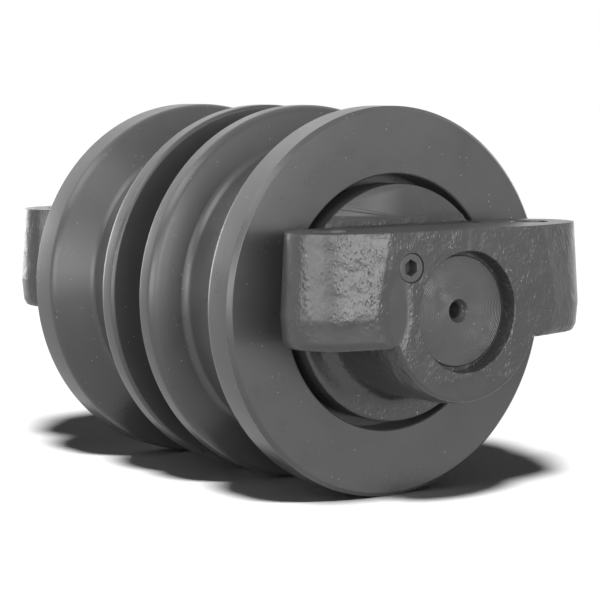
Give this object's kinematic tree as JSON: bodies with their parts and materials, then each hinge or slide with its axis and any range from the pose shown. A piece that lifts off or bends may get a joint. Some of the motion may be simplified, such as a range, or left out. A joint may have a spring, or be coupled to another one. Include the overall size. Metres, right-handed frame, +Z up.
{
  "type": "track roller",
  "caption": "Double-flange track roller with a fixed shaft, two cast end collars with vertical bolt holes, and a turning shell on flanged bushes with face seals.",
  "frame": {"origin": "middle of the shaft, on its axis", "axes": "+Y along the shaft (near end is -Y, far end is +Y), +Z up, square to the collars' bolted faces, +X along the collars' bars"},
  "size_m": [0.234, 0.374, 0.234],
  "materials": {
    "roller_shell": "satin dark grey paint over turned forged steel",
    "collar_casting": "satin dark grey paint over a rough casting",
    "shaft_steel": "satin dark grey paint over a turned shaft end",
    "plug_steel": "painted over",
    "pin_steel": "ground",
    "seal_iron": "lapped",
    "seal_rubber": "matte",
    "bush_bronze": "turned",
    "weld": "painted weld bead"
  },
  "bodies": {
    "shaft_and_collars": {"shaft": "shaft_steel", "near_collar": "collar_casting", "far_collar": "collar_casting", "near_port_plug": "plug_steel", "far_port_plug": "plug_steel", "near_lock_pin": "pin_steel", "far_lock_pin": "pin_steel", "near_shaft_oring": "seal_rubber", "far_shaft_oring": "seal_rubber", "near_fixed_seal_ring": "seal_iron", "far_fixed_seal_ring": "seal_iron", "near_fixed_toric": "seal_rubber", "far_fixed_toric": "seal_rubber"},
    "roller": {"near_shell_half": "roller_shell", "far_shell_half": "roller_shell", "weld_seam": "weld", "near_bush": "bush_bronze", "far_bush": "bush_bronze", "near_turning_seal_ring": "seal_iron", "far_turning_seal_ring": "seal_iron", "near_turning_toric": "seal_rubber", "far_turning_toric": "seal_rubber"}
  },
  "joints": [
    {"name": "roller_spin", "type": "hinge", "parent": "shaft_and_collars", "child": "roller", "pos_m": [0, 0, 0], "axis": [0, 1, 0], "continuous": true}
  ]
}
